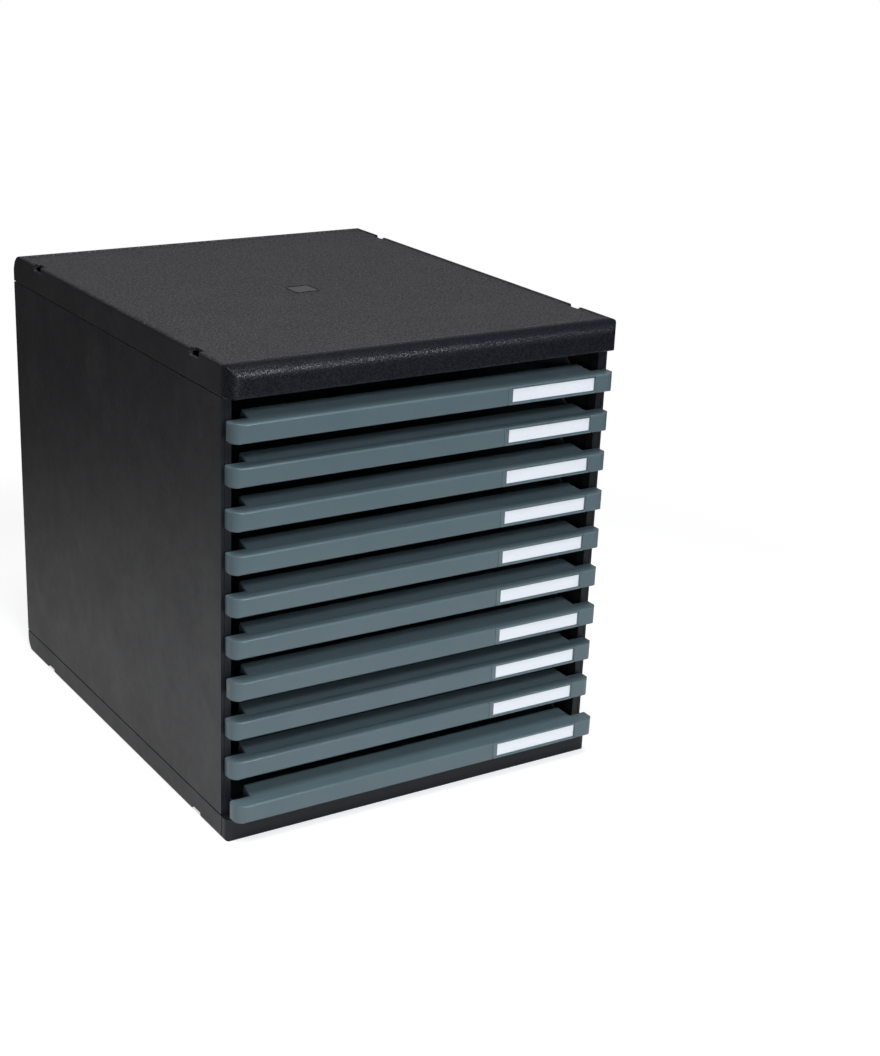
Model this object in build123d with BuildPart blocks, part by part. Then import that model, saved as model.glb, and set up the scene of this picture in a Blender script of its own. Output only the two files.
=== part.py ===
"""Desktop drawer unit for craft stamps and A4 sheets: a plastic casing with ten shallow sliding trays.

Millimetres, +Z up, +X to the right, and the drawers open towards -Y. The origin is the middle of the
underside of the casing, halfway between the faces of its front posts and its back.
"""
from build123d import *
from math import radians, tan
import os

# ---- casing ------------------------------------------------------------------------------------------
case_width = 288.0
case_depth = 341.0          # face of the front posts to the back
base_height = 15.5          # underside to the lower seam
cover_height = 20.0         # upper seam to the top panel
head_room = 1.0             # last runner level to the upper seam
shell_wall = 2.4
plate_thickness = 2.6       # top and bottom panels
post_width = 7.0
post_depth = 8.0
rear_return = 8.0           # side panels turned in behind the back panel
back_thickness = 2.4
back_clearance = 0.2

# ---- cover -------------------------------------------------------------------------------------------
cover_nose_depth = 12.0     # how far the cover stands ahead of the front posts
cover_corner_radius = 8.0   # its two front corners in plan
cover_front_radius = 9.0    # rounding along its upper front edge
cover_rear_radius = 14.0
cover_side_radius = 1.6
cover_lip_radius = 1.4      # lower front edge
border_width = 13.0         # smooth border along the front of the sunk top field
border_step = 0.5           # depth of the sunk top field
border_side = 3.2           # rims left beside the sunk field
border_rear = 1.5           # flat left between the sunk field and the rear rounding

# ---- base --------------------------------------------------------------------------------------------
base_nose_depth = 8.7
base_corner_radius = 4.5
base_front_radius = 1.5     # lower front edge
base_lip_radius = 1.0       # upper edge of the front lip
base_side_radius = 1.2
base_rear_radius = 10.0

# ---- moulded line round cover and base behind their noses, and shadow gaps along the seams -----------
line_width = 0.7
line_depth = 0.5
line_place = 1.1            # its middle, ahead of the front posts
seam_gap = 0.9
seam_gap_depth = 1.2
post_groove_width = 0.5
post_groove_depth = 0.4
post_groove_inset = 2.3     # outer side of a post to its groove

# ---- stiffening ribs inside cover and base -----------------------------------------------------------
stiffener_count = 3
stiffener_thickness = 1.8
stiffener_height = 7.0

# ---- lips that locate the side panels in cover and base ----------------------------------------------
lip_height = 5.0
lip_thickness = 1.8
lip_clearance = 0.2

# ---- slots in the cover's upper edges and notches in the base, for the clips of a stacked unit -------
slot_length = 13.0
slot_width = 4.8
slot_height = 4.7
notch_length = 11.5
notch_height = 2.8
notch_slant = 2.5           # run of the notch's slanted end
stack_front_setback = 36.5  # front posts to the middle of the front slots and notches
stack_rear_setback = 48.0   # back to the middle of the rear ones

# ---- drawers -----------------------------------------------------------------------------------------
drawer_count = 10
drawer_pitch = 28.0
drawer_travel = 250.0       # closed to stop
rest_openings = [2.2, 0.3, 0.6, 1.1, 1.2, 1.5, 3.0, 1.1, 1.0, 8.2]     # top drawer first
closed_gap = 0.3            # drawer front to posts when shut
front_inset = 2.0           # ends of the drawer front, in from the casing's sides
front_height = 12.5
front_depth = 11.5
front_corner_radius = 7.6
front_edge_radius = 1.3
front_end_radius = 4.5      # lower corners of the drawer front, seen from the front
front_wall = 2.2
ledge_depth = 10.0          # flat top of the drawer front
tray_wall = 2.0
tray_floor = 1.8
tray_side_gap = 0.6
tray_rear_gap = 3.0
tray_corner_radius = 5.0
rim_clearance = 2.0         # rim to the runner above
rim_low_height = 6.5        # low stretch of the side walls behind the drawer front
rim_low_length = 28.0
rim_rise_length = 24.0
gutter_width = 6.0          # between ramp and side wall
ramp_length = 12.5
ramp_angle = 9.5
ramp_taper = 8.0
ramp_rear_run = 4.0
ramp_edge_radius = 1.0

# ---- runners and stops -------------------------------------------------------------------------------
runner_thickness = 1.8
runner_gap = 0.2            # tray floor above its runner
runner_overlap = 3.6        # how far the runner reaches under the tray
guide_height = 7.0
guide_thickness = 2.0
stop_nub_length = 3.0
stop_nub_clearance = 0.6    # rim below the nub
stop_tab_length = 6.0
stop_tab_clearance = 0.4    # tab below the runner

# ---- label holder ------------------------------------------------------------------------------------
label_setback = 16.5        # end of the drawer front to the label window
window_width = 70.7
window_height = 12.0
window_thickness = 1.4
window_proud = 0.2
window_fit = 0.1
card_left_margin = 3.55     # ends of the window to the card
card_right_margin = 1.15
card_edge_margin = 1.4      # window's long edges to the card
card_thickness = 0.4
card_fit = 0.3
tab_width = 1.6             # snap tabs of the window
tab_height = 5.0
tab_length = 2.0
tab_inset = 1.7             # window's ends to its tabs

# ---- places that follow from the sizes ---------------------------------------------------------------
half_width = case_width / 2
post_y = -case_depth / 2
back_y = case_depth / 2
seam_low = base_height
seam_high = seam_low + drawer_count * drawer_pitch + head_room
case_height = seam_high + cover_height
inner_half = half_width - shell_wall
opening_half = half_width - post_width
front_half = half_width - front_inset
tray_half = opening_half - tray_side_gap
tray_rear = case_depth - shell_wall - back_thickness - tray_rear_gap + closed_gap
runner_level = drawer_pitch - runner_thickness - runner_gap     # next runner's underside over a tray
rim_height = runner_level - rim_clearance
ramp_start = ledge_depth - front_depth
ramp_half = tray_half - tray_wall - gutter_width
stop_face = post_depth + stop_nub_length + closed_gap + drawer_travel
window_middle = front_half - label_setback - window_width / 2
window_low = front_height - window_height
card_width = window_width - card_left_margin - card_right_margin
card_height = window_height - 2 * card_edge_margin
card_middle = window_middle + (card_left_margin - card_right_margin) / 2
stack_places = [post_y + stack_front_setback, back_y - stack_rear_setback]
stiffener_pitch = 2 * inner_half / (stiffener_count + 1)


def shell_form(height, inset, nose_depth, front_radius, lip_radius, rear_radius, side_radius,
               corner_radius, plate):
    """Half of the casing as a closed form on z = 0, its plate side up, every face moved in by inset."""
    front = post_y - nose_depth + inset
    rear = back_y - inset
    top = height - plate
    front_round = max(front_radius - inset, inset / 4)
    lip_round = max(lip_radius - inset, inset / 8)
    rear_round = rear_radius - inset
    with BuildPart() as form:
        # Side profile: rounded nose, softened lip and rounded rear edge.
        with BuildSketch(Plane.YZ):
            with BuildLine():
                Polyline((rear, top - rear_round), (rear, 0), (front + lip_round, 0))
                RadiusArc((front + lip_round, 0), (front, lip_round), lip_round)
                Line((front, lip_round), (front, top - front_round))
                RadiusArc((front, top - front_round), (front + front_round, top), front_round)
                Line((front + front_round, top), (rear - rear_round, top))
                RadiusArc((rear - rear_round, top), (rear, top - rear_round), rear_round)
            make_face()
        extrude(amount=half_width - inset, both=True)
        # Plan with its two rounded front corners.
        with BuildSketch():
            with Locations((0, (front + rear) / 2)):
                plan = Rectangle(case_width - 2 * inset, rear - front)
            fillet(plan.vertices().group_by(Axis.Y)[0], max(corner_radius - inset, inset / 4))
        extrude(amount=height, mode=Mode.INTERSECT)
        # Front view with its two rounded upper edges, which a thick wall leaves square inside.
        if side_radius > inset:
            with BuildSketch(Plane.XZ):
                with Locations((0, top / 2)):
                    view = Rectangle(case_width - 2 * inset, top)
                fillet(view.vertices().group_by(Axis.Y)[-1], side_radius - inset)
            extrude(amount=case_depth, both=True, mode=Mode.INTERSECT)
    return form.part


def moulded_line(solid, height, shape):
    """The shallow groove round one half of the casing just behind its nose."""
    with BuildPart() as line:
        add(solid)
        add(shell_form(height, line_depth, *shape, line_depth), mode=Mode.SUBTRACT)
        with Locations((0, post_y - line_place, height / 2)):
            Box(case_width, line_width, height, mode=Mode.INTERSECT)
    return line.part


# ==== top cover =======================================================================================
cover_shape = (
    cover_nose_depth, cover_front_radius, cover_lip_radius, cover_rear_radius, cover_side_radius,
    cover_corner_radius,
)
cover_solid = shell_form(cover_height, 0, *cover_shape, 0)
cover_hollow = shell_form(cover_height, shell_wall, *cover_shape, plate_thickness)
with BuildPart() as top_cover:
    add(cover_solid.moved(Location((0, 0, seam_high))))
    add(cover_hollow.moved(Location((0, 0, seam_high))), mode=Mode.SUBTRACT)
    # Header wall in line with the posts, and ribs under the top panel.
    with BuildSketch(Plane.XY.offset(seam_high)):
        with Locations((0, post_y + shell_wall / 2)):
            Rectangle(2 * inner_half, shell_wall)
    extrude(amount=cover_height - plate_thickness)
    with BuildSketch(Plane.XY.offset(case_height - plate_thickness)):
        rib_end = back_y - cover_rear_radius
        with Locations((0, (post_y + rib_end) / 2)):
            with GridLocations(stiffener_pitch, 0, stiffener_count, 1):
                Rectangle(stiffener_thickness, rib_end - post_y)
    extrude(amount=-stiffener_height)
    # Sunk field of the top panel behind its smooth border.
    with BuildSketch(Plane.XY.offset(case_height)):
        field_start = post_y - cover_nose_depth + border_width
        field_end = back_y - cover_rear_radius - border_rear
        with Locations((0, (field_start + field_end) / 2)):
            Rectangle(case_width - 2 * border_side, field_end - field_start)
    extrude(amount=-border_step, mode=Mode.SUBTRACT)
    add(moulded_line(cover_solid, cover_height, cover_shape).moved(Location((0, 0, seam_high))),
        mode=Mode.SUBTRACT)
    # Slots for stacking clips through both upper edges.
    with BuildSketch(Plane.XY.offset(case_height)):
        for side in (-1, 1):
            with Locations([(side * (half_width - slot_width / 2), place) for place in stack_places]):
                Rectangle(slot_width, slot_length)
    extrude(amount=-slot_height, mode=Mode.SUBTRACT)
top_cover.part.label = "top_cover"

# ==== base ============================================================================================
base_shape = (
    base_nose_depth, base_front_radius, base_lip_radius, base_rear_radius, base_side_radius,
    base_corner_radius,
)
base_solid = shell_form(base_height, 0, *base_shape, 0)
base_hollow = shell_form(base_height, shell_wall, *base_shape, plate_thickness)
with BuildPart() as base:
    # The shell is formed plate side up and turned over.
    add(base_solid.mirror(Plane.XY).moved(Location((0, 0, base_height))))
    add(base_hollow.mirror(Plane.XY).moved(Location((0, 0, base_height))), mode=Mode.SUBTRACT)
    # Front lip, closed on top and hollow from below.
    with BuildSketch():
        with Locations((0, post_y + (shell_wall - base_nose_depth) / 2)):
            Rectangle(case_width, base_nose_depth + shell_wall)
    extrude(amount=base_height)
    add(base_solid.mirror(Plane.XY).moved(Location((0, 0, base_height))), mode=Mode.INTERSECT)
    with BuildSketch():
        with Locations((0, post_y - (base_nose_depth - shell_wall) / 2)):
            Rectangle(2 * inner_half, base_nose_depth - shell_wall)
    extrude(amount=base_height - shell_wall, mode=Mode.SUBTRACT)
    # Ribs on the bottom panel.
    with BuildSketch(Plane.XY.offset(plate_thickness)):
        rib_end = back_y - base_rear_radius
        with Locations((0, (post_y + rib_end) / 2)):
            with GridLocations(stiffener_pitch, 0, stiffener_count, 1):
                Rectangle(stiffener_thickness, rib_end - post_y)
    extrude(amount=stiffener_height)
    add(moulded_line(base_solid, base_height, base_shape).mirror(Plane.XY)
        .moved(Location((0, 0, base_height))), mode=Mode.SUBTRACT)
    # Notches for stacking clips, each with one slanted end.
    for side in (-1, 1):
        with BuildSketch(Plane.YZ.offset(side * half_width)):
            for place in stack_places:
                start = place - notch_length / 2
                end = place + notch_length / 2
                with BuildLine():
                    Polyline(
                        (start, 0), (start, notch_height), (end, notch_height),
                        (end + notch_slant, 0), close=True,
                    )
                make_face()
        extrude(amount=-side * slot_width, mode=Mode.SUBTRACT)
base.part.label = "base"


# ==== side panels =====================================================================================
def side_panel(side):
    """One side wall with its front post, rear return, lips, and a runner for every drawer."""
    with BuildPart() as panel:
        with BuildSketch(Plane.XY.offset(seam_low)):
            with Locations((side * (half_width - shell_wall / 2), 0)):
                Rectangle(shell_wall, case_depth)
            with Locations((side * (half_width - post_width / 2), post_y + shell_wall / 2)):
                Rectangle(post_width, shell_wall)
            with Locations((side * (opening_half + shell_wall / 2), post_y + post_depth / 2)):
                Rectangle(shell_wall, post_depth)
            with Locations((side * (half_width - rear_return / 2), back_y - shell_wall / 2)):
                Rectangle(rear_return, shell_wall)
            # Fine groove down the face of the post.
            with Locations((side * (half_width - post_groove_inset), post_y)):
                Rectangle(post_groove_width, 2 * post_groove_depth, mode=Mode.SUBTRACT)
        extrude(amount=seam_high - seam_low)
        # Shadow gaps where the wall meets cover and base, on its side and round its rear corner.
        for seam in (seam_low, seam_high - seam_gap):
            with BuildSketch(Plane.XY.offset(seam)):
                with Locations((side * (half_width - seam_gap_depth / 2), 0)):
                    Rectangle(seam_gap_depth, case_depth)
                with Locations((side * (half_width - rear_return / 2), back_y - seam_gap_depth / 2)):
                    Rectangle(rear_return, seam_gap_depth)
            extrude(amount=seam_gap, mode=Mode.SUBTRACT)
        # Lips inside the skirts of cover and base.
        lip_start = post_y + post_depth
        lip_end = back_y - shell_wall - back_thickness - rear_return
        lip_inner = inner_half - lip_clearance - lip_thickness
        with BuildSketch(Plane.XY.offset(seam_low - lip_height)):
            with Locations((side * (lip_inner + lip_thickness / 2), (lip_start + lip_end) / 2)):
                Rectangle(lip_thickness, lip_end - lip_start)
        extrude(amount=seam_high - seam_low + 2 * lip_height)
        with BuildSketch(Plane.XY.offset(seam_low)):
            with Locations((side * (inner_half - lip_clearance / 2), (lip_start + lip_end) / 2)):
                Rectangle(lip_clearance, lip_end - lip_start)
        extrude(amount=seam_high - seam_low)
        # Runners: a shelf under each tray's edge with an upstand that guides its side, and one more
        # shelf over the top tray.
        runner_start = post_y + shell_wall
        runner_end = back_y - shell_wall - back_thickness
        shelf_width = inner_half - tray_half + runner_overlap
        with BuildSketch(Plane.XZ.offset(-runner_start)):
            for level in range(drawer_count + 1):
                shelf_z = seam_low + level * drawer_pitch + runner_thickness / 2
                with Locations((side * (inner_half - shelf_width / 2), shelf_z)):
                    Rectangle(shelf_width, runner_thickness)
            for level in range(drawer_count):
                guide_z = seam_low + level * drawer_pitch + runner_thickness + guide_height / 2
                with Locations((side * (opening_half + guide_thickness / 2), guide_z)):
                    Rectangle(guide_thickness, guide_height)
        extrude(amount=runner_start - runner_end)
        # Nubs under the shelves that stop the tab on each tray's rim.
        nub_height = rim_clearance - stop_nub_clearance
        with BuildSketch(Plane.XZ.offset(-post_y - post_depth)):
            for level in range(drawer_count):
                nub_z = seam_low + (level + 1) * drawer_pitch - nub_height / 2
                with Locations((side * (tray_half - tray_wall / 2), nub_z)):
                    Rectangle(tray_wall, nub_height)
        extrude(amount=-stop_nub_length)
    return panel.part


left_side_panel = side_panel(-1)
left_side_panel.label = "left_side_panel"
right_side_panel = side_panel(1)
right_side_panel.label = "right_side_panel"

# ==== back panel ======================================================================================
with BuildPart() as back_panel:
    with BuildSketch(Plane.XZ.offset(shell_wall - back_y)):
        with Locations((0, (seam_low + seam_high) / 2)):
            Rectangle(2 * (inner_half - back_clearance), seam_high - seam_low + 2 * lip_height)
    extrude(amount=back_thickness)
back_panel.part.label = "back_panel"


# ==== one drawer: its front's underside at z = 0, the back of its front at y = 0 ======================
def front_form():
    """The drawer front as a solid bar, rounded in plan, in side profile and in front view."""
    with BuildPart() as bar:
        with BuildSketch(Plane.YZ):
            with Locations((-front_depth / 2, front_height / 2)):
                profile = Rectangle(front_depth, front_height)
            fillet(profile.vertices().group_by(Axis.X)[0], front_edge_radius)
        extrude(amount=front_half, both=True)
        with BuildSketch():
            with Locations((0, -front_depth / 2)):
                plan = Rectangle(2 * front_half, front_depth)
            fillet(plan.vertices().group_by(Axis.Y)[0], front_corner_radius)
        extrude(amount=front_height, mode=Mode.INTERSECT)
        with BuildSketch(Plane.XZ):
            with Locations((0, front_height / 2)):
                view = Rectangle(2 * front_half, front_height)
            fillet(view.vertices().group_by(Axis.Y)[-1], front_edge_radius)
            fillet(view.vertices().group_by(Axis.Y)[0], front_end_radius)
        extrude(amount=front_depth, mode=Mode.INTERSECT)
    return bar.part


def ramp_form(inset):
    """The lead-in behind the ledge: it rises to a crest, tapers in plan and drops to the floor."""
    start = ramp_start - tray_wall + inset
    crest = ramp_start + ramp_length - inset
    foot = crest + ramp_rear_run
    start_half = ramp_half - inset
    foot_half = start_half - (foot - start) * tan(radians(ramp_taper))
    crest_z = front_height - inset + (crest - start) * tan(radians(ramp_angle))
    with BuildPart() as form:
        with BuildSketch(Plane.YZ):
            with BuildLine():
                Polyline(
                    (start, 0), (start, front_height - inset), (crest, crest_z), (foot, 0), close=True,
                )
            make_face()
        extrude(amount=start_half, both=True)
        with BuildSketch():
            with BuildLine():
                Polyline(
                    (-start_half, start), (-foot_half, foot), (foot_half, foot), (start_half, start),
                    close=True,
                )
            make_face()
        extrude(amount=crest_z, mode=Mode.INTERSECT)
    return form.part


ramp_hollow = ramp_form(tray_wall)
with BuildPart() as ramp_solid:
    add(ramp_form(0))
    slope = faces().filter_by(lambda f: f.normal_at().Z > 0.9 and f.normal_at().Y < -0.01)[0]
    fillet(slope.edges().filter_by(lambda e: abs(e.center().X) > 1), ramp_edge_radius)

with BuildPart() as tray:
    # Walls and floor, with the rear corners rounded.
    tray_front = ramp_start - tray_wall
    with BuildSketch():
        with Locations((0, (tray_front + tray_rear) / 2)):
            walls = Rectangle(2 * tray_half, tray_rear - tray_front)
        fillet(walls.vertices().group_by(Axis.Y)[-1], tray_corner_radius)
    extrude(amount=rim_height)
    with BuildSketch(Plane.XY.offset(tray_floor)):
        with Locations((0, (ramp_start + tray_rear - tray_wall) / 2)):
            room = Rectangle(2 * (tray_half - tray_wall), tray_rear - tray_wall - ramp_start)
        fillet(room.vertices().group_by(Axis.Y)[-1], tray_corner_radius - tray_wall)
    extrude(amount=rim_height, mode=Mode.SUBTRACT)
    # The rim is low behind the front and rises to its full height.
    with BuildSketch(Plane.YZ):
        with BuildLine():
            Polyline(
                (-front_depth, rim_low_height), (rim_low_length, rim_low_height),
                (rim_low_length + rim_rise_length, rim_height),
                (rim_low_length + rim_rise_length, 2 * rim_height), (-front_depth, 2 * rim_height),
                close=True,
            )
        make_face()
    extrude(amount=half_width, both=True, mode=Mode.SUBTRACT)
    # Tabs on the rim that meet the stops.
    with BuildSketch(Plane.XY.offset(rim_height)):
        for side in (-1, 1):
            with Locations((side * (tray_half - tray_wall / 2), stop_face + stop_tab_length / 2)):
                Rectangle(tray_wall, stop_tab_length)
    extrude(amount=rim_clearance - stop_tab_clearance)
    # Drawer front and lead-in ramp, both hollow from below.
    add(front_form())
    add(ramp_solid.part)
    with BuildSketch():
        hollow_front = front_wall - front_depth
        hollow_half = front_half - front_end_radius - front_edge_radius
        with Locations((0, (hollow_front + tray_front) / 2)):
            hollow = Rectangle(2 * hollow_half, tray_front - hollow_front)
        fillet(hollow.vertices().group_by(Axis.Y)[0], front_corner_radius - front_wall)
    extrude(amount=front_height - front_wall, mode=Mode.SUBTRACT)
    add(ramp_hollow, mode=Mode.SUBTRACT)
    # Seat of the label window, with slots for its tabs.
    with BuildSketch(Plane.XZ.offset(front_depth)):
        with Locations((window_middle, window_low - window_fit + window_height / 2)):
            Rectangle(window_width + 2 * window_fit, window_height + 2 * window_fit)
    extrude(amount=window_proud - window_thickness, mode=Mode.SUBTRACT)
    with BuildSketch(Plane.XZ.offset(front_depth)):
        with Locations((window_middle, front_height / 2)):
            with GridLocations(window_width - 2 * tab_inset, 0, 2, 1):
                Rectangle(tab_width + 2 * window_fit, tab_height + 2 * window_fit)
    extrude(amount=-front_wall, mode=Mode.SUBTRACT)

with BuildPart() as window:
    with BuildSketch(Plane.XZ.offset(front_depth + window_proud)):
        with Locations((window_middle, window_low + window_height / 2)):
            Rectangle(window_width, window_height)
    extrude(amount=-window_thickness)
    # Pocket for the card behind the pane.
    with BuildSketch(Plane.XZ.offset(front_depth + window_proud - window_thickness)):
        with Locations((card_middle, front_height / 2)):
            Rectangle(card_width + card_fit, card_height + card_fit)
    extrude(amount=card_thickness + card_fit / 3, mode=Mode.SUBTRACT)
    with BuildSketch(Plane.XZ.offset(front_depth + window_proud - window_thickness)):
        with Locations((window_middle, front_height / 2)):
            with GridLocations(window_width - 2 * tab_inset, 0, 2, 1):
                Rectangle(tab_width, tab_height)
    extrude(amount=-tab_length)

with BuildPart() as card:
    with BuildSketch(Plane.XZ.offset(front_depth + window_proud - window_thickness)):
        with Locations((card_middle, front_height / 2)):
            Rectangle(card_width, card_height)
    extrude(amount=card_thickness)

# ==== ten drawers, each where it stands at rest =======================================================
os.makedirs("parts", exist_ok=True)
for number in range(1, drawer_count + 1):
    opening = rest_openings[(number - 1) % len(rest_openings)]
    level = seam_low + (drawer_count - number) * drawer_pitch + runner_thickness + runner_gap
    seat = Location((0, post_y - closed_gap - opening, level))
    for name, piece in (("drawer", tray), ("label_card", card), ("label_window", window)):
        copy = piece.part.moved(seat)
        copy.label = f"{name}_{number}"
        export_step(copy, f"parts/{copy.label}.step")

export_step(top_cover.part, "parts/top_cover.step")
export_step(base.part, "parts/base.step")
export_step(left_side_panel, "parts/left_side_panel.step")
export_step(right_side_panel, "parts/right_side_panel.step")
export_step(back_panel.part, "parts/back_panel.step")
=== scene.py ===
"""Looks of the craft stamp storage drawers: a black casing, ten grey trays, white cards behind windows."""
import math

import bpy
from mathutils import Matrix, Vector


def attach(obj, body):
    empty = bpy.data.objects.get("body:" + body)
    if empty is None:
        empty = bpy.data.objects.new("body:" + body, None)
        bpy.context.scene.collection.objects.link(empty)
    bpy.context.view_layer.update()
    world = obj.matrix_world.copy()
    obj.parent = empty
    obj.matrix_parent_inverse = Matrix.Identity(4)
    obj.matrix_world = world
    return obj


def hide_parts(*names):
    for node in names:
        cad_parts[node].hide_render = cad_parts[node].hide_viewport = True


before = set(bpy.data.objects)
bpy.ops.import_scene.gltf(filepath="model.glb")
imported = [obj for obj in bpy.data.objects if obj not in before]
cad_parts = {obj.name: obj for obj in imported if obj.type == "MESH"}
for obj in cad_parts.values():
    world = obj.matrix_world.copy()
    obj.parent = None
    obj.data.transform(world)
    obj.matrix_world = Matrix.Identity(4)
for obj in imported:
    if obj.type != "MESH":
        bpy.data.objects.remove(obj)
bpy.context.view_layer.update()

MM = 0.001
DRAWERS = range(1, 11)

# ---- colours, linear -----------------------------------------------------------------------------
CASING_BLACK = (0.0125, 0.0122, 0.0140, 1)
CASING_DUSTY = (0.024, 0.0235, 0.0255, 1)
SCUFF = (0.09, 0.087, 0.085, 1)
# painted shade on the cover's nose: its black made darker and bluer, a painted bluish reflection
NOSE_SHADED_BLACK = (0.0060, 0.0060, 0.0100, 1)
# painted glints of the grain on the cover's top field
TOP_GLINT_PAINT = (0.038, 0.038, 0.041, 1)
# painted shade of the posts' front faces, recessed between the drawer fronts
POST_SHADE_BLACK = (0.0075, 0.0090, 0.0125, 1)
TRAY_GREY = (0.080, 0.116, 0.131, 1)
TRAY_GREY_LIGHT = (0.086, 0.123, 0.138, 1)
CARD_WHITE = (0.80, 0.825, 0.86, 1)
CARD_SHADE = (0.76, 0.785, 0.82, 1)
RIM_GREY = (0.094, 0.136, 0.153, 1)
RIM_GREY_LIGHT = (0.108, 0.150, 0.168, 1)
PAD_BLACK = (0.020, 0.020, 0.022, 1)
PAD_BLACK_LIGHT = (0.032, 0.032, 0.034, 1)
FLOOR_WHITE = (0.58, 0.58, 0.58, 1)
# dark end of the floor's painted pool of light
FLOOR_PAINTED_DARK = (0.085, 0.085, 0.085, 1)
PURE_WHITE = (1, 1, 1, 1)

# ---- places of the frame that the looks follow, metres -------------------------------------------
POST_Y = -170.5 * MM                # front face of the posts
COVER_TOP = 316.5 * MM
HALF_WIDTH = 144.0 * MM
DRAWER_PITCH = 28.0 * MM
LOWEST_DRAWER = 17.5 * MM           # underside of the bottom drawer's front
CLOSED_GAP = 0.3 * MM               # shut drawer front to posts
FRONT_DEPTH = 11.7 * MM             # back of a drawer front to the face of its window
REST_OPENINGS = [2.2, 0.3, 0.6, 1.1, 1.2, 1.5, 3.0, 1.1, 1.0, 8.2]     # millimetres, top drawer first

# ---- where the casing changes its finish and where painted shade and glints go: soft limits from and to, or middle and half width ------
NOSE_BACK = (POST_Y - 1.6 * MM, POST_Y - 0.8 * MM)
FIELD_LEVEL = (COVER_TOP - 0.9 * MM, COVER_TOP - 0.55 * MM)
RIM_INNER = (HALF_WIDTH - 3.3 * MM, HALF_WIDTH - 3.0 * MM)
RIM_FOOT = (COVER_TOP - 2.2 * MM, COVER_TOP - 1.4 * MM)
LINES_FOOT = (COVER_TOP - 20 * MM, COVER_TOP - 19 * MM)
GROOVE = (POST_Y - 1.1 * MM, 0.42 * MM)
SEAM_LINE = (POST_Y + 1.25 * MM, 0.5 * MM)
GLOSSY_STRIP = (POST_Y + 0.1 * MM, 0.8 * MM)
POST_FACE = (POST_Y + 0.3 * MM, POST_Y + 0.9 * MM)

# ---- sizes of the grown pieces ---------------------------------------------------------------------
WINDOW_SIZES = {
    "Width": 70.6 * MM, "Height": 11.9 * MM, "Corner": 0.9 * MM, "Pane": 0.5 * MM, "Rim": 0.6 * MM,
    "Depth": 0.95 * MM, "ViewWidth": 65.4 * MM, "ViewHeight": 8.8 * MM, "ViewShift": 1.2 * MM,
}
WINDOW_X = 90.15 * MM
WINDOW_RISE = 6.5 * MM              # underside of the drawer front to the window's middle
PANE_SETBACK = 0.15 * MM
VIEW_CORNER = 0.3 * MM
PAD_SIZES = {"Side": 19.0 * MM, "Corner": 1.5 * MM, "Edge": 0.25 * MM, "Height": 0.3 * MM}
PAD_PLACE = (-3.5 * MM, -14.5 * MM, COVER_TOP - 0.25 * MM)

# ---- floor and surroundings ------------------------------------------------------------------------
FLOOR_REACH = 6.0
FLOOR_DROP = 0.2 * MM
FLOOR_LIFT = 0.62                   # added to the floor where the camera sees it near the object
WHITE_FROM = (0.32, 0.62)           # away from the object the camera sees plain white
PAINTED_POOL_EDGE = (0.22, 0.98)            # a painted pool of light: the floor is pale inside this ring and dark beyond it
PAINTED_POOL_AHEAD = 0.12                   # the ring's middle lies this far in front of the object's
WORLD_LOW = 0.30                    # light of the surroundings at the horizon
WORLD_HIGH = 0.06                   # and overhead
WORLD_FADE = 0.75                   # height of the direction in which it has faded

# name, place, aim, width and height, watts, tint
LAMPS = [
    ("key", (0.68, -2.0, 1.75), (0, -0.1, 0.15), (0.42, 0.42), 30, (0.90, 0.94, 1.0)),
    ("table_light", (-0.35, -0.45, 2.05), (-0.2, -0.35, 0.0), (1.3, 0.8), 36, (1.0, 1.0, 1.0)),
    ("front_fill", (-0.9, -2.3, 0.5), (0, 0, 0.15), (1.6, 0.7), 19, (0.93, 0.96, 1.0)),
    ("corner_glint", (-1.08, -0.92, 1.9), (-0.14, -0.17, 0.3), (0.4, 0.4), 7, (0.90, 0.94, 1.0)),
]

# ---- camera, fitted to the casing's corners in the photograph ----------------------------------------
PHOTO_WIDTH = 880
PHOTO_HEIGHT = 1056
FOCAL_PIXELS = 1838.916
CENTRE_PIXEL = (381.24, 559.755)
CAMERA_AZIMUTH = -31.8553           # degrees
CAMERA_ELEVATION = 21.0567
CAMERA_ROLL = 1.9257
CAMERA_DISTANCE = 1.3782
CAMERA_TARGET = (0.06456, -0.0205, 0.10515)
SENSOR = 36


# ---- node helpers ------------------------------------------------------------------------------------
class Nodes:
    """Short calls that add a node to a tree; most return its output socket."""

    def __init__(self, tree):
        self.tree = tree

    def feed(self, socket, value):
        if isinstance(value, bpy.types.NodeSocket):
            self.tree.links.new(value, socket)
        else:
            socket.default_value = value

    def node(self, kind, inputs=None, **settings):
        node = self.tree.nodes.new(kind)
        for name, value in settings.items():
            setattr(node, name, value)
        for key, value in (inputs or {}).items():
            self.feed(node.inputs[key], value)
        return node

    def calc(self, operation, first, second=0.0):
        return self.node("ShaderNodeMath", {0: first, 1: second}, operation=operation).outputs["Value"]

    def ramp(self, value, low, high, to_low=0.0, to_high=1.0):
        """Runs smoothly from `to_low` to `to_high` while the value runs from `low` to `high`."""
        return self.node("ShaderNodeMapRange", {
            "Value": value, "From Min": low, "From Max": high, "To Min": to_low, "To Max": to_high,
        }, interpolation_type="SMOOTHSTEP").outputs["Result"]

    def blend(self, fac, first, second):
        """Mix of two colours."""
        return self.node("ShaderNodeMix", {"Factor": fac, "A": first, "B": second},
                         data_type="RGBA").outputs["Result"]

    def blend_value(self, fac, first, second):
        return self.node("ShaderNodeMix", {"Factor": fac, "A": first, "B": second}).outputs["Result"]


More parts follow.
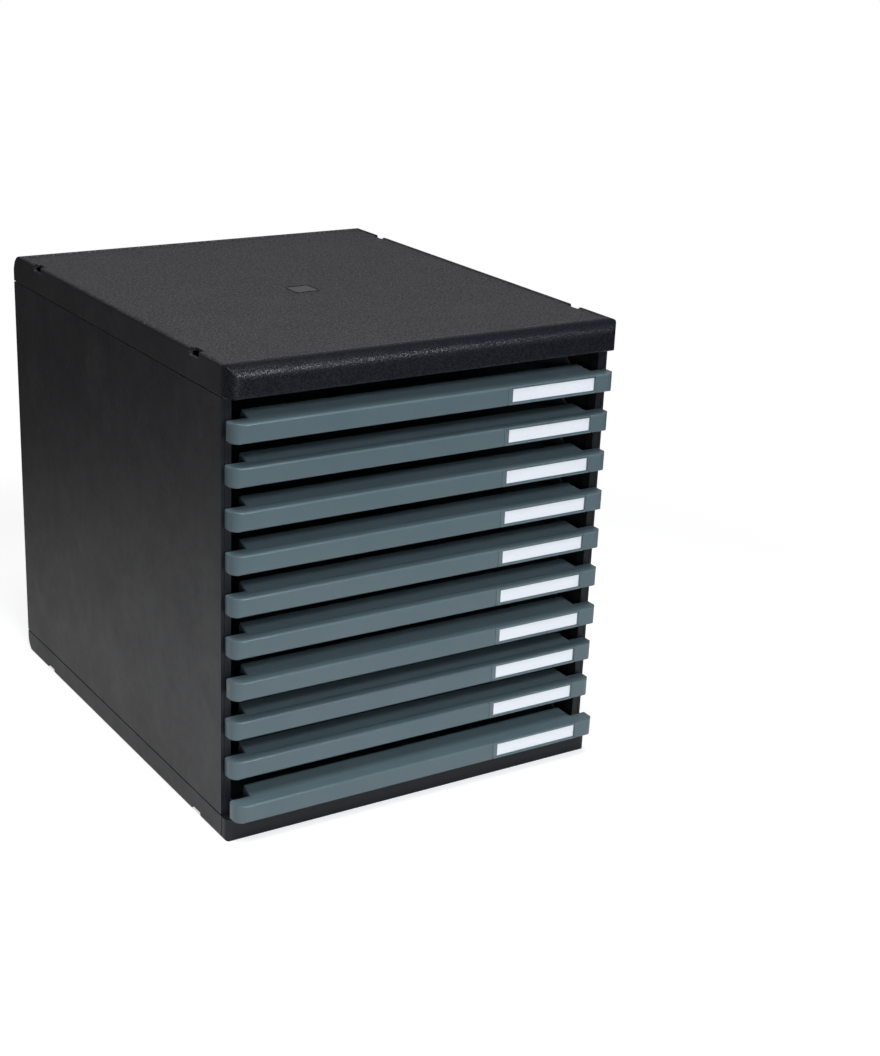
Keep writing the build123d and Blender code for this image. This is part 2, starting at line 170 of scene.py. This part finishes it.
class Recipe(Nodes):
    """A material under construction, with its patterns laid out in the object's own coordinates."""

    def __init__(self, name):
        self.material = bpy.data.materials.new(name)
        self.material.use_nodes = True
        super().__init__(self.material.node_tree)
        self.tree.nodes.clear()
        self.place = self.node("ShaderNodeTexCoord").outputs["Object"]

    def stretched(self, scale):
        return self.node("ShaderNodeMapping", {"Vector": self.place, "Scale": scale}).outputs["Vector"]

    def noise(self, scale, detail=3.0, roughness=0.5, place=None):
        return self.node("ShaderNodeTexNoise", {
            "Vector": place or self.place, "Scale": scale, "Detail": detail, "Roughness": roughness,
        }).outputs["Fac"]

    def cells(self, scale):
        return self.node("ShaderNodeTexVoronoi", {
            "Vector": self.place, "Scale": scale,
        }, feature="F1").outputs["Distance"]

    def smooth_cells(self, scale, smoothness):
        return self.node("ShaderNodeTexVoronoi", {
            "Vector": self.place, "Scale": scale, "Smoothness": smoothness,
        }, feature="SMOOTH_F1").outputs["Distance"]

    def axes(self):
        node = self.node("ShaderNodeSeparateXYZ", {"Vector": self.place})
        return node.outputs["X"], node.outputs["Y"], node.outputs["Z"]

    def band(self, value, middle, half):
        """1 within `half` of `middle`, with soft flanks."""
        off = self.calc("ABSOLUTE", self.calc("SUBTRACT", value, middle))
        return self.ramp(off, half * 0.75, half * 1.25, to_low=1.0, to_high=0.0)

    def soft_edges(self, radius):
        return self.node("ShaderNodeBevel", {"Radius": radius}, samples=6).outputs["Normal"]

    def bump(self, height, distance, normal=None):
        inputs = {"Height": height, "Distance": distance, "Strength": 1.0}
        if normal:
            inputs["Normal"] = normal
        return self.node("ShaderNodeBump", inputs).outputs["Normal"]

    def output(self, shader):
        self.node("ShaderNodeOutputMaterial", {"Surface": shader})
        return self.material

    def finish(self, colour, roughness, normal, ior=1.5, specular=0.5):
        return self.output(self.node("ShaderNodeBsdfPrincipled", {
            "Base Color": colour, "Roughness": roughness, "Normal": normal, "IOR": ior,
            "Specular IOR Level": specular,
        }).outputs["BSDF"])


# ---- materials -----------------------------------------------------------------------------------------
def leather(r, size):
    """Height of a fine leather grain: pebbles about `size` across with finer tooth on them."""
    warp = r.noise(0.35 / size, detail=2.0)
    pebbles = r.smooth_cells(1.0 / size, smoothness=0.35)
    tooth = r.noise(2.6 / size, detail=2.0, roughness=0.6)
    coarse = r.calc("MULTIPLY", warp, 0.5)
    return r.calc("ADD", r.calc("ADD", pebbles, coarse), r.calc("MULTIPLY", tooth, 0.3))


def cover_plastic():
    """Black cover: leather grain on top and on its nose, an even satin down its sides, dark rims, with
    painted glints on the top field and painted shade on the nose.
    """
    r = Recipe("cover_leather_grain")
    x, y, z = r.axes()
    nose = r.ramp(y, *NOSE_BACK, to_low=1.0, to_high=0.0)
    top = r.ramp(z, *FIELD_LEVEL)
    grained = r.calc("MAXIMUM", nose, top)
    side_rims = r.calc("MULTIPLY", r.ramp(r.calc("ABSOLUTE", x), *RIM_INNER), r.ramp(z, *RIM_FOOT))
    lines = r.calc("MAXIMUM", r.band(y, *GROOVE), r.band(y, *SEAM_LINE))
    rim = r.calc("MAXIMUM", side_rims, r.calc("MULTIPLY", lines, r.ramp(z, *LINES_FOOT)))
    strip = r.calc("MULTIPLY", r.band(y, *GLOSSY_STRIP), top)

    dust = r.ramp(r.noise(30.0, detail=6.0, roughness=0.7), 0.42, 0.75, to_high=0.6)
    plain = r.blend(dust, CASING_BLACK, CASING_DUSTY)
    # Painted glints: lighter flecks on the top field only, where its grain catches the light.
    painted_glints = r.calc("MULTIPLY", r.ramp(r.noise(700.0, detail=2.0, roughness=0.7), 0.44, 0.62), top)
    # The nose takes painted shade in a darker, bluer black than the rest of the cover.
    colour = r.blend(nose, r.blend(painted_glints, plain, TOP_GLINT_PAINT), NOSE_SHADED_BLACK)

    side_rough, top_rough, nose_rough, rim_rough, strip_rough = 0.42, 0.48, 0.35, 0.30, 0.22
    patches = r.ramp(r.noise(120.0, detail=4.0, roughness=0.6), 0.3, 0.7, to_low=-0.03, to_high=0.03)
    rough = r.blend_value(nose, r.blend_value(top, side_rough, top_rough), nose_rough)
    rough = r.blend_value(rim, r.calc("ADD", rough, patches), rim_rough)
    rough = r.blend_value(strip, rough, strip_rough)

    side_shine, rim_shine = 0.5, 0.14
    fine = r.noise(950.0, detail=2.0, roughness=0.7)
    top_specks = r.ramp(fine, 0.36, 0.64, to_low=0.2, to_high=0.9)
    nose_specks = r.ramp(fine, 0.36, 0.64, to_low=0.08, to_high=0.44)
    shine = r.blend_value(grained, side_shine, r.blend_value(nose, top_specks, nose_specks))
    shine = r.blend_value(rim, shine, rim_shine)

    side_depth, top_depth, nose_depth = 0.02 * MM, 0.30 * MM, 0.11 * MM
    depth = r.blend_value(grained, side_depth, r.blend_value(nose, top_depth, nose_depth))
    rounding = r.blend_value(nose, 0.5 * MM, 1.5 * MM)
    normal = r.bump(leather(r, 0.9 * MM), depth, r.soft_edges(rounding))
    return r.finish(colour, rough, normal, specular=shine)


def panel_plastic():
    """Black plastic of side panels, base and back: even satin with faint clouds, a few scuffs and painted
    shade on the posts' front faces.
    """
    r = Recipe("panel_satin_black")
    x, y, z = r.axes()
    # The posts' front faces get painted shade: a darker, bluer black and less shine, where they sit
    # recessed between the drawer fronts.
    front = r.ramp(y, *POST_FACE, to_low=1.0, to_high=0.0)
    cloud = r.noise(26.0, detail=6.0, roughness=0.72)
    marks = r.noise(9.0, detail=9.0, roughness=0.78, place=r.stretched((1.0, 0.7, 1.9)))
    scuffs = r.calc("MULTIPLY", r.ramp(marks, 0.60, 0.72), r.ramp(cloud, 0.5, 0.62))

    colour = r.blend(r.ramp(cloud, 0.40, 0.72, to_high=0.55), CASING_BLACK, CASING_DUSTY)
    colour = r.blend(r.calc("MULTIPLY", scuffs, 0.30), colour, SCUFF)
    colour = r.blend(front, colour, POST_SHADE_BLACK)
    rough = r.calc("ADD", r.ramp(cloud, 0.35, 0.7, to_low=-0.04, to_high=0.04), 0.40)
    streaks = r.noise(38.0, detail=7.0, roughness=0.75)
    shine = r.blend_value(front, r.ramp(streaks, 0.35, 0.68, to_low=0.40, to_high=0.58), 0.36)

    tooth = r.noise(900.0, detail=2.0, roughness=0.6)
    grain = r.calc("ADD", tooth, r.calc("MULTIPLY", r.cells(420.0), 0.6))
    normal = r.bump(grain, 0.035 * MM, r.soft_edges(0.4 * MM))
    return r.finish(colour, rough, normal, specular=shine)


def tray_plastic():
    """Smooth grey satin plastic of the trays, with a very faint ripple."""
    r = Recipe("tray_grey_satin")
    cloud = r.ramp(r.noise(24.0, detail=5.0, roughness=0.6), 0.3, 0.7)
    colour = r.blend(cloud, TRAY_GREY, TRAY_GREY_LIGHT)
    rough = r.ramp(r.noise(40.0), 0.3, 0.7, to_low=0.16, to_high=0.20)
    ripple = r.noise(55.0, detail=2.0)
    return r.finish(colour, rough, r.bump(ripple, 0.05 * MM, r.soft_edges(0.6 * MM)))


def card_paper():
    """White label card with a fine paper tooth."""
    r = Recipe("label_card_white")
    fibres = r.noise(900.0, detail=4.0, roughness=0.7, place=r.stretched((0.4, 1.0, 1.6)))
    colour = r.blend(r.ramp(fibres, 0.3, 0.8), CARD_WHITE, CARD_SHADE)
    return r.finish(colour, 0.72, r.bump(fibres, 0.02 * MM))


def clear_plastic():
    """Clear window plastic: what is behind shows through, under a thin gloss that rises at a slant."""
    r = Recipe("window_clear")
    smear = r.noise(70.0, detail=4.0, roughness=0.6)
    clear = r.node("ShaderNodeBsdfTransparent", {"Color": PURE_WHITE})
    gloss = r.node("ShaderNodeBsdfGlossy", {
        "Roughness": r.ramp(smear, 0.35, 0.75, to_low=0.07, to_high=0.16),
        "Normal": r.bump(smear, 0.01 * MM),
    })
    # Facing reads the same from inside the pane, so nothing is mirrored back at its far side.
    slant = r.node("ShaderNodeLayerWeight", {"Blend": 0.5}).outputs["Facing"]
    head_on, grazing = 0.036, 0.96
    mirrored = r.calc("ADD", r.calc("MULTIPLY", r.calc("POWER", slant, 5.0), grazing), head_on)
    return r.output(r.node("ShaderNodeMixShader", {
        "Fac": mirrored, 1: clear.outputs["BSDF"], 2: gloss.outputs["BSDF"],
    }).outputs["Shader"])


def rim_plastic():
    """Frosted border and edge of the window, close to the grey of the tray behind it."""
    r = Recipe("window_rim")
    haze = r.noise(300.0, roughness=0.6)
    colour = r.blend(r.ramp(haze, 0.3, 0.7), RIM_GREY, RIM_GREY_LIGHT)
    return r.finish(colour, r.ramp(haze, 0.3, 0.7, to_low=0.14, to_high=0.22), r.bump(haze, 0.01 * MM))


def pad_plastic():
    """Polished black plastic of the plain pad on the cover."""
    r = Recipe("plain_pad_polished")
    haze = r.noise(200.0, detail=4.0, roughness=0.6)
    colour = r.blend(r.ramp(haze, 0.3, 0.7), PAD_BLACK, PAD_BLACK_LIGHT)
    rough = r.ramp(haze, 0.3, 0.7, to_low=0.16, to_high=0.26)
    return r.finish(colour, rough, r.bump(haze, 0.01 * MM), ior=1.6)


def dress(node, material):
    """Gives a piece of the frame its finish."""
    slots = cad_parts[node].material_slots
    for entry in slots:
        entry.link = "OBJECT"
        entry.material = material


cover_grain = cover_plastic()
panel_satin = panel_plastic()
tray_grey = tray_plastic()
card_white = card_paper()
window_clear = clear_plastic()
window_rim = rim_plastic()
pad_polished = pad_plastic()

dress("top_cover", cover_grain)
for node in ("base", "left_side_panel", "right_side_panel", "back_panel"):
    dress(node, panel_satin)
for number in DRAWERS:
    dress(f"drawer_{number}", tray_grey)
    dress(f"label_card_{number}", card_white)


# ---- pieces grown from sizes by Geometry Nodes -------------------------------------------------------
class Grower(Nodes):
    """A Geometry Nodes tree with named length inputs."""

    def __init__(self, name, lengths):
        super().__init__(bpy.data.node_groups.new(name, "GeometryNodeTree"))
        self.sockets = {}
        for label in lengths:
            socket = self.tree.interface.new_socket(label, in_out="INPUT", socket_type="NodeSocketFloat")
            self.sockets[label] = socket.identifier
        self.tree.interface.new_socket("Geometry", in_out="OUTPUT", socket_type="NodeSocketGeometry")
        self.entry = self.node("NodeGroupInput")
        self.exit = self.node("NodeGroupOutput")

    def size(self, label):
        return self.entry.outputs[label]

    def joined(self, *parts):
        node = self.node("GeometryNodeJoinGeometry")
        for part in parts:
            self.tree.links.new(part, node.inputs[0])
        return node.outputs[0]

    def moved(self, part, **offsets):
        """The part shifted along X, Y or Z."""
        shift = self.node("ShaderNodeCombineXYZ", offsets).outputs[0]
        return self.node("GeometryNodeTransform", {"Geometry": part, "Translation": shift}).outputs[0]

    def rounded_outline(self, width, height, corner):
        outline = self.node("GeometryNodeCurvePrimitiveQuadrilateral", {"Width": width, "Height": height})
        return self.node("GeometryNodeFilletCurve", {
            "Curve": outline.outputs[0], "Radius": corner, "Count": 5,
        }, mode="POLY").outputs[0]

    def slab(self, outline, thickness):
        """A closed plate of that outline, its front at z = 0 and its back at -thickness."""
        flat = self.node("GeometryNodeFillCurve", {"Curve": outline}).outputs[0]
        deep = self.node("GeometryNodeExtrudeMesh", {
            "Mesh": flat, "Offset Scale": thickness, "Individual": False,
        })
        back = self.node("GeometryNodeFlipFaces", {"Mesh": flat}).outputs[0]
        solid = self.node("GeometryNodeMergeByDistance", {"Geometry": self.joined(deep.outputs[0], back)})
        return self.moved(solid.outputs[0], Z=self.calc("MULTIPLY", thickness, -1.0))

    def marked(self, part, name):
        return self.node("GeometryNodeStoreNamedAttribute", {
            "Geometry": part, "Name": name, "Value": True,
        }, data_type="BOOLEAN", domain="FACE").outputs[0]

    def end(self, part, plain, marks=()):
        """Real geometry with its materials as the tree's last nodes."""
        made = self.node("GeometryNodeRealizeInstances", {"Geometry": part}).outputs[0]
        made = self.node("GeometryNodeSetMaterial", {"Geometry": made, "Material": plain}).outputs[0]
        for name, material in marks:
            chosen = self.node("GeometryNodeInputNamedAttribute", {"Name": name}, data_type="BOOLEAN")
            made = self.node("GeometryNodeSetMaterial", {
                "Geometry": made, "Selection": chosen.outputs[0], "Material": material,
            }).outputs[0]
        self.tree.links.new(made, self.exit.inputs[0])
        return self

    def grow(self, lengths):
        """The tree's result as a plain mesh."""
        seed = bpy.data.objects.new("seed", bpy.data.meshes.new("seed"))
        bpy.context.scene.collection.objects.link(seed)
        modifier = seed.modifiers.new("grow", "NODES")
        modifier.node_group = self.tree
        for label, value in lengths.items():
            modifier[self.sockets[label]] = value
        bpy.context.view_layer.update()
        made = seed.evaluated_get(bpy.context.evaluated_depsgraph_get())
        mesh = bpy.data.meshes.new_from_object(made)
        bpy.data.objects.remove(seed)
        return mesh


def window_tree():
    """A label window: a thin pane, a frosted border round the card and a rounded rim on its edge."""
    g = Grower("label_window", WINDOW_SIZES)
    inner_width = g.calc("SUBTRACT", g.size("Width"), g.size("Rim"))
    inner_height = g.calc("SUBTRACT", g.size("Height"), g.size("Rim"))
    path = g.rounded_outline(inner_width, inner_height, g.size("Corner"))
    profile = g.rounded_outline(g.size("Rim"), g.size("Depth"), g.calc("MULTIPLY", g.size("Rim"), 0.3))
    sweep = g.node("GeometryNodeCurveToMesh", {
        "Curve": path, "Profile Curve": profile, "Fill Caps": False,
    }).outputs[0]
    rim = g.moved(sweep, Z=g.calc("MULTIPLY", g.size("Depth"), -0.5))
    pane = g.moved(g.slab(path, g.size("Pane")), Z=-PANE_SETBACK)
    opening = g.rounded_outline(g.size("ViewWidth"), g.size("ViewHeight"), VIEW_CORNER)
    view = g.moved(opening, X=g.size("ViewShift"))
    plate = g.slab(g.joined(path, view), g.calc("SUBTRACT", g.size("Depth"), g.size("Pane")))
    border = g.moved(plate, Z=g.calc("MULTIPLY", g.size("Pane"), -1.0))
    frosted = g.marked(g.joined(rim, border), "frosted")
    return g.end(g.joined(frosted, pane), window_clear, [("frosted", window_rim)])


def pad_tree():
    """A plain square pad with a raised edge."""
    g = Grower("plain_pad", PAD_SIZES)
    plate = g.slab(g.rounded_outline(g.size("Side"), g.size("Side"), g.size("Corner")), g.size("Height"))
    bead = g.node("GeometryNodeCurvePrimitiveCircle", {"Resolution": 10, "Radius": g.size("Edge")})
    inset = g.calc("SUBTRACT", g.size("Side"), g.calc("MULTIPLY", g.size("Edge"), 2.0))
    path = g.rounded_outline(inset, inset, g.size("Corner"))
    edge = g.node("GeometryNodeCurveToMesh", {"Curve": path, "Profile Curve": bead.outputs[0]}).outputs[0]
    return g.end(g.joined(plate, edge), pad_polished)


def settle(name, mesh, turn, place):
    """An object at the origin whose mesh stands turned at its place."""
    mesh.transform(Matrix.Translation(place) @ turn)
    for polygon in mesh.polygons:
        polygon.use_smooth = True
    mesh.set_sharp_from_angle(angle=math.radians(35))
    piece = bpy.data.objects.new(name, mesh)
    bpy.context.scene.collection.objects.link(piece)
    return piece


window = window_tree()
upright = Matrix.Rotation(math.radians(90), 4, "X")
for number in DRAWERS:
    face = POST_Y - CLOSED_GAP - REST_OPENINGS[number - 1] * MM - FRONT_DEPTH
    low = LOWEST_DRAWER + (len(DRAWERS) - number) * DRAWER_PITCH
    place = Vector((WINDOW_X, face, low + WINDOW_RISE))
    piece = settle(f"window_{number}", window.grow(WINDOW_SIZES), upright, place)
    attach(piece, f"drawer_body_{number}")
    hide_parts(f"label_window_{number}")

pad = settle("plain_pad", pad_tree().grow(PAD_SIZES), Matrix.Identity(4), Vector(PAD_PLACE))
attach(pad, "casing")


# ---- floor, light and camera -----------------------------------------------------------------------
def seen_by_camera(nodes):
    """1 for rays that come from the camera, also through clear plastic."""
    path = nodes.node("ShaderNodeLightPath").outputs
    return nodes.calc("MAXIMUM", path["Is Camera Ray"], path["Is Transmission Ray"])


def white_ground():
    """A pale floor that reads white to the camera and keeps the shadow of what stands on it, its colour a
    painted pool of light that darkens away from the object.
    """
    mesh = bpy.data.meshes.new("floor")
    corners = [(-1, -1), (1, -1), (1, 1), (-1, 1)]
    mesh.from_pydata([(x * FLOOR_REACH, y * FLOOR_REACH, -FLOOR_DROP) for x, y in corners], [],
                     [(0, 1, 2, 3)])
    floor = bpy.data.objects.new("floor", mesh)
    bpy.context.scene.collection.objects.link(floor)

    r = Recipe("floor_white")
    seen = seen_by_camera(r)
    away = r.node("ShaderNodeVectorMath", {0: r.place}, operation="LENGTH").outputs["Value"]
    far = r.calc("MULTIPLY", seen, r.ramp(away, *WHITE_FROM))
    ahead = r.node("ShaderNodeVectorMath", {0: r.place, 1: (0.0, PAINTED_POOL_AHEAD, 0.0)}, operation="ADD")
    apart = r.node("ShaderNodeVectorMath", {0: ahead.outputs["Vector"]}, operation="LENGTH")
    # Painted pool of light: the floor's colour fades from pale to dark away from the object.
    painted_pool = r.blend(r.ramp(apart.outputs["Value"], *PAINTED_POOL_EDGE), FLOOR_WHITE, FLOOR_PAINTED_DARK)
    matt = r.node("ShaderNodeBsdfDiffuse", {"Color": painted_pool})
    glow = r.node("ShaderNodeEmission", {"Strength": r.calc("MULTIPLY", seen, FLOOR_LIFT)})
    near = r.node("ShaderNodeAddShader", {0: matt.outputs[0], 1: glow.outputs[0]})
    white = r.node("ShaderNodeEmission", {"Color": PURE_WHITE, "Strength": 1.0})
    both = r.node("ShaderNodeMixShader", {0: far, 1: near.outputs[0], 2: white.outputs[0]})
    mesh.materials.append(r.output(both.outputs[0]))


def studio_world():
    """Surroundings that are bright near the horizon and dim overhead, and plain white to the camera."""
    world = bpy.data.worlds.new("studio")
    bpy.context.scene.world = world
    world.use_nodes = True
    n = Nodes(world.node_tree)
    n.tree.nodes.clear()
    heading = n.node("ShaderNodeTexCoord").outputs["Generated"]
    height = n.node("ShaderNodeSeparateXYZ", {0: heading}).outputs["Z"]
    shed = n.ramp(height, 0.0, WORLD_FADE, to_low=WORLD_LOW, to_high=WORLD_HIGH)
    strength = n.ramp(seen_by_camera(n), 0.0, 1.0, to_low=shed, to_high=1.0)
    back = n.node("ShaderNodeBackground", {"Color": PURE_WHITE, "Strength": strength})
    n.node("ShaderNodeOutputWorld", {"Surface": back.outputs[0]})


def softbox(name, place, aim, size, power, tint):
    """A rectangular soft light at `place` that points at `aim`."""
    light = bpy.data.lights.new(name, "AREA")
    light.shape = "RECTANGLE"
    light.size, light.size_y = size
    light.energy = power
    light.color = tint
    lamp = bpy.data.objects.new(name, light)
    bpy.context.scene.collection.objects.link(lamp)
    lamp.location = place
    lamp.rotation_euler = (Vector(aim) - Vector(place)).to_track_quat("-Z", "Y").to_euler()


def photo_camera():
    """The camera of the photograph."""
    azimuth, elevation, roll = map(math.radians, (CAMERA_AZIMUTH, CAMERA_ELEVATION, CAMERA_ROLL))
    away = Vector((
        math.sin(azimuth) * math.cos(elevation), -math.cos(azimuth) * math.cos(elevation),
        math.sin(elevation),
    ))
    right = Vector((0, 0, 1)).cross(away).normalized()
    up = away.cross(right)
    tilt_right = right * math.cos(roll) + up * math.sin(roll)
    tilt_up = up * math.cos(roll) - right * math.sin(roll)
    turn = Matrix((tilt_right, tilt_up, away)).transposed()
    data = bpy.data.cameras.new("photo_camera")
    data.sensor_width = SENSOR
    data.lens = FOCAL_PIXELS / PHOTO_HEIGHT * SENSOR
    data.shift_x = (PHOTO_WIDTH / 2 - CENTRE_PIXEL[0]) / PHOTO_HEIGHT
    data.shift_y = (CENTRE_PIXEL[1] - PHOTO_HEIGHT / 2) / PHOTO_HEIGHT
    camera = bpy.data.objects.new("photo_camera", data)
    bpy.context.scene.collection.objects.link(camera)
    place = Vector(CAMERA_TARGET) + away * CAMERA_DISTANCE
    camera.matrix_world = Matrix.Translation(place) @ turn.to_4x4()
    bpy.context.scene.camera = camera


white_ground()
studio_world()
for lamp in LAMPS:
    softbox(*lamp)
photo_camera()
bpy.context.scene.view_settings.view_transform = "Standard"
